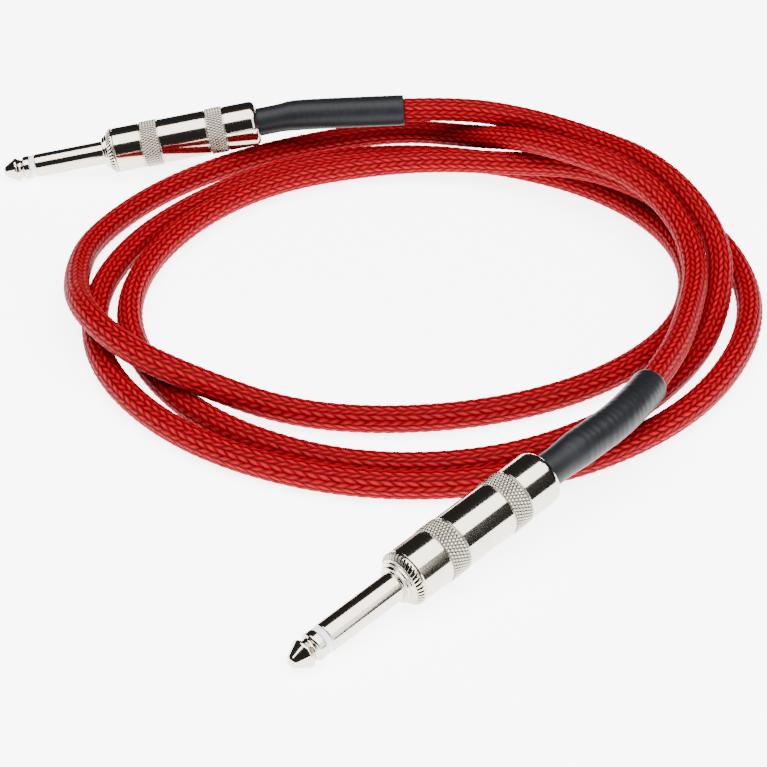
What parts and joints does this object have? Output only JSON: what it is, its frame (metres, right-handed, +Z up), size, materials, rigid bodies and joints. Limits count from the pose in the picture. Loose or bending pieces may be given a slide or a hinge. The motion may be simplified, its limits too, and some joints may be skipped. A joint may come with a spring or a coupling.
{
  "type": "instrument cable",
  "caption": "Braided red instrument cable in a loose flat coil with straight nickel 6.35 mm plugs, knurled screw-on barrels and black shrink boots",
  "frame": {"origin": "under the middle of the two plugs' common box, on the surface they rest on", "axes": "+Z up; +Y from the near plug towards the far plug, across the coil; +X to the right of the coil as seen from the near plug"},
  "size_m": [0.1992, 0.2219, 0.0209],
  "materials": {
    "nickel": "gloss",
    "tin_plate": "satin",
    "solder": "satin",
    "copper": "satin",
    "pale_plastic": "satin",
    "black_plastic": "matte",
    "liner_plastic": "gloss",
    "black_rubber": "matte",
    "shrink": "satin",
    "braid": "satin"
  },
  "bodies": {
    "cord_and_plugs": {"cable": "braid", "plug_a_boot": "shrink", "plug_a_centre_wire": "copper", "plug_a_cord_end": "braid", "plug_a_core": "pale_plastic", "plug_a_ground_lug": "tin_plate", "plug_a_ground_solder": "solder", "plug_a_inner_tube": "black_plastic", "plug_a_jacket": "black_rubber", "plug_a_pigtail": "copper", "plug_a_rear_washer": "pale_plastic", "plug_a_sleeve_body": "nickel", "plug_a_tip_contact": "nickel", "plug_a_tip_insulator": "pale_plastic", "plug_a_tip_lug": "tin_plate", "plug_a_tip_solder": "solder", "plug_b_boot": "shrink", "plug_b_centre_wire": "copper", "plug_b_cord_end": "braid", "plug_b_core": "pale_plastic", "plug_b_ground_lug": "tin_plate", "plug_b_ground_solder": "solder", "plug_b_inner_tube": "black_plastic", "plug_b_jacket": "black_rubber", "plug_b_pigtail": "copper", "plug_b_rear_washer": "pale_plastic", "plug_b_sleeve_body": "nickel", "plug_b_tip_contact": "nickel", "plug_b_tip_insulator": "pale_plastic", "plug_b_tip_lug": "tin_plate", "plug_b_tip_solder": "solder"},
    "plug_a_liner_slide": {"plug_a_liner": "liner_plastic"},
    "plug_a_barrel_turn": {"plug_a_barrel": "nickel"},
    "plug_b_liner_slide": {"plug_b_liner": "liner_plastic"},
    "plug_b_barrel_turn": {"plug_b_barrel": "nickel"}
  },
  "joints": [
    {"name": "plug_a_draw", "type": "slide", "parent": "cord_and_plugs", "child": "plug_a_liner_slide", "axis": [0.724, 0.6773, 0.1305], "range_m": [0, 0.0048]},
    {"name": "plug_a_unscrew", "type": "hinge", "parent": "plug_a_liner_slide", "child": "plug_a_barrel_turn", "pos_m": [0.02531, -0.08518, 0.00678], "axis": [0.724, 0.6773, 0.1305], "range_deg": [0, 2160]},
    {"name": "plug_b_draw", "type": "slide", "parent": "cord_and_plugs", "child": "plug_b_liner_slide", "axis": [0.9813, 0.1111, 0.1573], "range_m": [0, 0.0048]},
    {"name": "plug_b_unscrew", "type": "hinge", "parent": "plug_b_liner_slide", "child": "plug_b_barrel_turn", "pos_m": [-0.0532, 0.09651, 0.00751], "axis": [0.9813, 0.1111, 0.1573], "range_deg": [0, 2160]}
  ],
  "couplings": [
    {"joint": "plug_a_unscrew", "follows": "plug_a_draw", "rad_per_m": 7853.9},
    {"joint": "plug_b_unscrew", "follows": "plug_b_draw", "rad_per_m": 7853.9}
  ]
}
